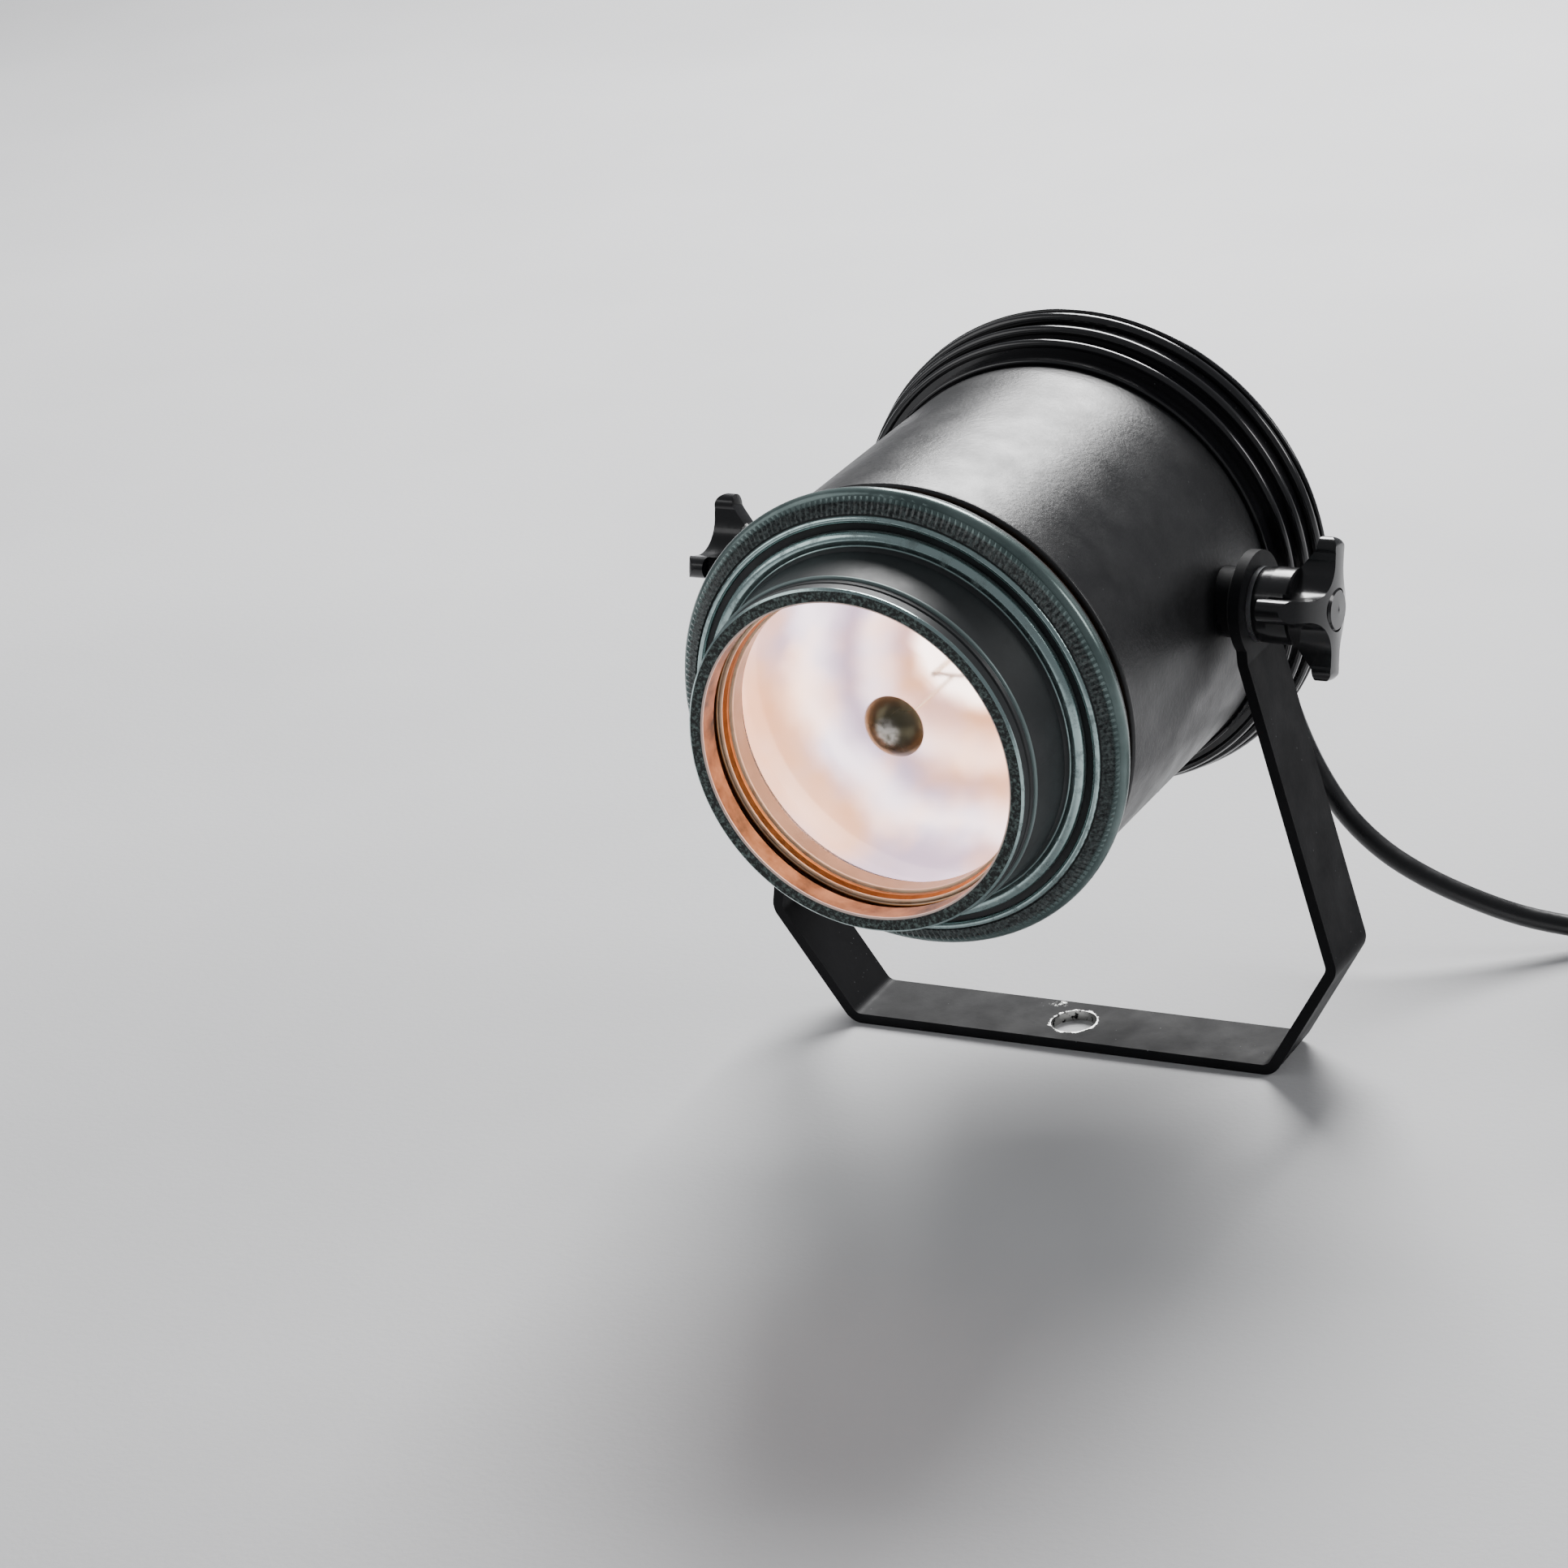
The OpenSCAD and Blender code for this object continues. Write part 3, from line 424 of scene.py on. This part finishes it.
def ring_metal():
    """Charcoal metal with teal-grey and polished beads, a gritty rim and a copper-toned mouth."""
    k = Look("ring_metal", (0.020, 0.022, 0.024), 0.3)
    r, a = k.from_beam_axis()
    mottle = k.noise(70, 5, 0.6)
    color = k.ramp(mottle, (0.25, (0.010, 0.012, 0.013)), (0.75, (0.022, 0.025, 0.027)))
    fine = k.noise(260, 5, 0.65)

    outer = k.near_circle(r, a, OUTER_BEAD)
    teal = k.ramp(mottle, (0.25, (0.075, 0.115, 0.112)), (0.75, (0.190, 0.250, 0.242)))
    color = k.mix(outer, color, teal)

    gap = k.times(k.under(r, GAP_R), k.under(a, GAP_FRONT))
    rust = k.ramp(fine, (0.3, (0.050, 0.026, 0.012)), (0.7, (0.22, 0.12, 0.055)))
    color = k.mix(gap, color, rust)

    band = k.times(k.over(r, BAND_INNER_R), k.under(r, BAND_OUTER_R, 0.00025))
    band = k.times(band, k.over(a, BAND_BACK, 0.00015))
    gritty = k.ramp(k.noise(1100, 4, 0.7), (0.40, (0.008, 0.011, 0.011)),
                    (0.66, (0.130, 0.160, 0.155)))
    color = k.mix(band, color, gritty)

    beads = 0.0
    for circle in POLISHED_BEADS:
        beads = k.larger(beads, k.near_circle(r, a, circle))
    beads = k.times(beads, k.ramp(fine, (0.30, 0.55), (0.50, 1.0)))
    # Polished beads, plus a painted highlight line on the snout at 0.4 strength.
    polish_and_painted_highlight = k.larger(beads, k.times(k.near_circle(r, a, SNOUT_HIGHLIGHT), 0.4))
    color = k.mix(polish_and_painted_highlight, color, (0.46, 0.60, 0.59))

    inside = k.times(k.under(r, MOUTH_R), k.under(a, MOUTH_FRONT, 0.00015))
    groove_painted_shade = k.times(k.under(a, GROOVE_FRONT, 0.00015), k.over(a, GROOVE_BACK, 0.00015))
    copper = k.ramp(k.noise(85, 4, 0.6), (0.34, (0.060, 0.036, 0.014)),
                    (0.48, (0.30, 0.125, 0.042)), (0.66, (0.52, 0.25, 0.105)))
    # Painted shade: the groove is darkened to near-black brown where the recess lies in shade.
    copper = k.mix(groove_painted_shade, copper, (0.022, 0.009, 0.004))
    color = k.mix(inside, color, copper)
    # Painted highlight: a thin cream line round the mouth's lip.
    color = k.mix(k.near_circle(r, a, MOUTH_LIP), color, (0.90, 0.72, 0.64))

    rim = k.times(k.over(a, RIM_BACK, 0.0001), k.under(r, RIM_OUTER_R, 0.0001))
    rim = k.times(rim, k.over(r, RIM_INNER_R, 0.0001))
    grit = k.noise(820, 4, 0.75)
    specks = k.ramp(grit, (0.47, (0.004, 0.007, 0.006)), (0.66, (0.15, 0.21, 0.195)))
    k.set("Base Color", k.mix(rim, color, specks))

    k.set("Metallic", k.larger(k.larger(polish_and_painted_highlight, k.times(outer, 0.5)), k.times(inside, 0.6)))
    rough = k.ramp(k.noise(120, 5, 0.65), (0.3, 0.42), (0.7, 0.54))
    for where, value in ((rim, 0.62), (band, 0.36), (outer, 0.24), (polish_and_painted_highlight, 0.17)):
        rough = k.mix(where, rough, (value,) * 3)
    k.set("Roughness", rough)
    first = k.bump(k.noise(900, 3, 0.6), 0.00002)
    k.bump(k.times(grit, rim), 0.00030, normal=first)
    return k


def copper_ring():
    """Lens ring: orange-brown, with a cream painted highlight along each rolled edge."""
    k = plain_metal("copper_tone", (0.46, 0.19, 0.060), 0.32)
    r, a = k.from_beam_axis()
    front, back = (k.near_circle(r, a, circle) for circle in LENS_RING_EDGES)
    # Painted highlights: cream lines on the two rolled edges, broken up by noise and made less
    # metallic.
    lines = k.times(k.larger(front, back), k.ramp(k.noise(190, 4), (0.3, 0.6), (0.5, 1.0)))
    k.set("Base Color", k.mix(lines, k.linked("Base Color"), (0.85, 0.62, 0.42)))
    k.set("Metallic", k.between(lines, 0.0, 1.0, 1.0, 0.3))
    return k


def shield():
    """Heat-stained olive cap with a pale painted highlight in its middle."""
    k = plain_metal("shield_metal", (0.17, 0.155, 0.095), 0.26)
    r, _ = k.from_beam_axis()
    # Painted highlight: a pale patch near the axis, broken up by noise.
    painted_highlight = k.times(k.between(r, 0.0046, 0.0020), k.ramp(k.noise(420, 4), (0.35, 0.2), (0.6, 1.0)))
    k.set("Base Color", k.mix(painted_highlight, k.linked("Base Color"), (0.80, 0.78, 0.72)))
    return k


YOKE_LOW = 0.00575  # the yoke's base lies below this height
HOLE_WEAR_R = 0.00685  # how far from the hole's centre its worn edge reaches
SCUFF_AT = (-0.0085, 0.0090)  # centre of a scuff beside the hole


def satin_paint():
    """Satin black on the yoke, worn to bare metal round the fixing hole."""
    k = powder("satin_black", (0.008, 0.008, 0.009), 0.55, 0.00003)
    k.set("Specular IOR Level", 0.11)
    x, y, z = k.axes()
    low = k.under(z, YOKE_LOW, 0.00025)
    ragged = k.noise(420, 5, 0.75)
    uneven = k.plus(k.length(x, y), k.times(k.math("SUBTRACT", ragged, 0.5), 0.0048))
    edge = k.times(k.under(uneven, HOLE_WEAR_R, 0.00015), low)
    dx, dy = k.math("SUBTRACT", x, SCUFF_AT[0]), k.math("SUBTRACT", y, SCUFF_AT[1])
    away = k.math("SQRT", k.plus(k.times(k.times(dx, dx), 0.35), k.times(dy, dy)))
    patch = k.times(k.between(away, 0.0022, 0.0008), low)
    bare = k.larger(edge, k.times(patch, k.between(ragged, 0.50, 0.58)))
    k.set("Base Color", k.mix(bare, k.linked("Base Color"), (0.52, 0.52, 0.50)))
    k.set("Metallic", bare)
    k.set("Roughness", k.mix(bare, k.linked("Roughness"), (0.28, 0.28, 0.28)))
    return k


MIRROR_R = 0.055


def mirror_glow():
    """The lit mirror: soft white, peach and lilac light with faint rings, brighter to +X and up."""
    k = Look("mirror", (0.30, 0.28, 0.27), 0.35, 0.5)
    r, _ = k.from_beam_axis()
    x, _, z = k.axes()
    cloud = k.noise(30, 3, 0.5)
    tint = k.ramp(cloud, (0.36, (0.52, 0.40, 0.60)), (0.45, (0.86, 0.46, 0.42)),
                  (0.55, (1.0, 0.44, 0.22)), (0.66, (1.0, 0.36, 0.11)))
    wobble = k.times(k.math("SUBTRACT", k.noise(38, 3), 0.5), 0.014)
    outwards = k.math("DIVIDE", k.plus(r, wobble), MIRROR_R)
    rings = k.ramp(outwards, (0.0, 0.10), (0.14, 0.75), (0.24, 0.80), (0.34, 0.0), (0.48, 0.35),
                   (0.58, 0.0), (0.74, 0.45), (0.86, 0.05), (1.0, 0.25), ease=True)
    lean = k.plus(k.times(x, 9.0), k.times(k.math("SUBTRACT", z, AXIS_Z), 6.0))
    lit = k.between(k.plus(lean, k.times(cloud, 0.5)), 0.34, 0.84)
    white = k.plus(rings, lit, clamp=True)
    k.set("Emission Color", k.mix(white, tint, (1.0, 0.93, 0.89)))
    k.set("Emission Strength", k.plus(1.7, k.times(white, 5.5)))
    k.bump(k.noise(90, 2), 0.0001)
    return k


def lens_glass():
    """Thin clear glass with faint ripples."""
    k = Look("lamp_glass", (0.98, 0.96, 0.95), 0.06)
    k.set("Transmission Weight", 1.0)
    k.set("IOR", 1.15)
    k.set("Roughness", k.ramp(k.noise(70, 4), (0.3, 0.10), (0.7, 0.24)))
    k.bump(k.noise(55, 2), 0.0001, 0.6)
    return k


LOOKS = {
    "powder_black": lambda: powder("powder_black", (0.011, 0.011, 0.012), 0.36),
    "satin_black": satin_paint,
    "gloss_black": lambda: powder("gloss_black", (0.005, 0.005, 0.006), 0.18, 0.000010, coat=0.6),
    "ring_metal": ring_metal,
    "copper_tone": copper_ring,
    "silicone": lambda: plastic("silicone", (0.60, 0.34, 0.18), 0.4),
    "lamp_glass": lens_glass,
    "mirror": mirror_glow,
    "shield_metal": shield,
    "hot_wire": lambda: plain_metal("hot_wire", (0.7, 0.62, 0.5), 0.3),
    "brass": lambda: plain_metal("brass", (0.78, 0.56, 0.27), 0.28),
    "rubber": lambda: plastic("rubber", (0.014, 0.014, 0.014), 0.5, 1300, 0.00003),
    "steel": lambda: plain_metal("steel", (0.55, 0.56, 0.58), 0.3),
    "core_steel": lambda: plain_metal("core_steel", (0.14, 0.12, 0.11), 0.5, 1200),
    "copper_wire": lambda: plain_metal("copper_wire", (0.70, 0.28, 0.12), 0.25, 2200),
    "cream_plastic": lambda: plastic("cream_plastic", (0.72, 0.69, 0.60), 0.35),
    "wire_brown": lambda: plastic("wire_brown", (0.25, 0.08, 0.03), 0.3),
    "black_plastic": lambda: plastic("black_plastic", (0.008, 0.008, 0.009), 0.2, 700, 0.00002,
                                     Coat_Weight=0.3),
    "cord_black": lambda: plastic("cord_black", (0.010, 0.010, 0.011), 0.3, 900, 0.00002),
    "chrome": lambda: plain_metal("chrome", (0.8, 0.8, 0.82), 0.12),
}
materials = {name: make().material for name, make in LOOKS.items()}
slots = {s["node"]: s["material_slot"] for s in frame["record"]["subparts"]}


def dress(o, material):
    """Gives a piece this one material."""
    o.data.materials.clear()
    o.data.materials.append(material)


# ---- teeth on the front ring, which the CAD leaves plain, in metres --------------------
TEETH = 230
BAND_INNER, BAND_OUTER = Vector((0.0582, 0.0811)), Vector((0.0622, 0.0790))  # (radius, station)
TOOTH_ROWS = 5  # points along each tooth
TOOTH_LIFT, VALLEY_LIFT, BAND_LIFT = 0.0007, 0.00008, 0.00004
TOOTH_ENDS = 0.25  # height at a tooth's ends, as a share of its middle
MIDDLE_NICK = 0.55  # height of the middle row, as a share of its full height
TEETH_THICK = 0.0006


def add_teeth():
    """Fine radial teeth pressed into the front ring's sloping band."""
    bm = bmesh.new()
    slope = (BAND_OUTER - BAND_INNER).normalized()
    out = Vector((-slope.y, slope.x))
    lines = []
    for i in range(TEETH * 2):
        q = math.pi * i / TEETH
        top = TOOTH_LIFT if i % 2 == 0 else VALLEY_LIFT
        line = []
        for j in range(TOOTH_ROWS):
            t = j / (TOOTH_ROWS - 1)
            crown = math.sin(math.pi * min(max((t - 0.05) / 0.9, 0), 1))
            lift = top * (TOOTH_ENDS + (1 - TOOTH_ENDS) * crown) + BAND_LIFT
            if j == TOOTH_ROWS // 2:
                lift *= MIDDLE_NICK
            r, station = BAND_INNER + (BAND_OUTER - BAND_INNER) * t + out * lift
            line.append(bm.verts.new((r * math.cos(q), -station, AXIS_Z + r * math.sin(q))))
        lines.append(line)
    for a, b in zip(lines, lines[1:] + lines[:1]):
        for j in range(TOOTH_ROWS - 1):
            bm.faces.new((a[j], b[j], b[j + 1], a[j + 1]))
    bmesh.ops.recalc_face_normals(bm, faces=bm.faces)
    o = piece("ring_teeth", bm, "front", smooth=False)
    thick = o.modifiers.new("thick", "SOLIDIFY")
    thick.thickness = TEETH_THICK
    thick.offset = -1
    return o


# ---- the pieces and their looks --------------------------------------------------------
dress(add_tie(), materials["rubber"])
dress(add_cord(), materials["cord_black"])
dress(add_teeth(), materials["ring_metal"])
for name, o in nodes.items():
    dress(o, materials[slots[name]])

# How wide the rounded edges are, in metres, on the pieces whose edges catch the light
EDGES = {
    "yoke": 0.0004, "right_knob": 0.0009, "left_knob": 0.0009, "right_knob_cap": 0.0003,
    "left_knob_cap": 0.0003, "plug_body": 0.0006, "right_washer": 0.0002, "left_washer": 0.0002,
    "right_boss": 0.0003, "left_boss": 0.0003, "cap_screws": 0.0002, "gland_nut": 0.0003,
    "cable_gland": 0.0003, "strain_relief": 0.0003,
}
SHARP = math.radians(32)  # edges that turn more than this are rounded
for name, width in EDGES.items():
    soft = nodes[name].modifiers.new("edges", "BEVEL")
    soft.width, soft.segments = width, 3
    soft.limit_method, soft.angle_limit = "ANGLE", SHARP
    soft.harden_normals = True


# ---- stage, in metres and watts --------------------------------------------------------
def add_floor():
    bm = bmesh.new()
    bmesh.ops.create_grid(bm, x_segments=1, y_segments=1, size=4.0)
    o = mesh_object("floor", bm, smooth=False)
    k = Look("floor", (0.62, 0.62, 0.63), 0.7)
    pale = k.ramp(k.noise(6, 5), (0.3, (0.60, 0.60, 0.61)), (0.7, (0.66, 0.66, 0.67)))
    k.set("Base Color", pale)
    k.bump(k.noise(500, 4), 0.0001)
    dress(o, k.material)


def add_light(name, at, to, size, watts):
    """A square area light that isn't itself in view."""
    data = bpy.data.lights.new(name, "AREA")
    data.energy, data.size = watts, size
    o = bpy.data.objects.new(name, data)
    bpy.context.collection.objects.link(o)
    at, to = Vector(at), Vector(to)
    aim = (to - at).to_track_quat("-Z", "Y").to_matrix().to_4x4()
    o.matrix_world = Matrix.Translation(at) @ aim
    o.visible_camera = False


def add_stage():
    add_floor()
    middle = (0, 0, 0.12)
    add_light("key", (-0.30, 1.15, 1.15), middle, 0.8, 54)
    add_light("fill", (-1.6, -0.9, 1.1), middle, 1.4, 8)
    add_light("edge", (1.5, 0.5, 0.9), middle, 0.6, 8)
    world = bpy.data.worlds.new("studio")
    world.use_nodes = True
    back = world.node_tree.nodes["Background"]
    back.inputs["Color"].default_value = (0.80, 0.82, 0.86, 1)
    back.inputs["Strength"].default_value = 0.28
    bpy.context.scene.world = world


add_stage()
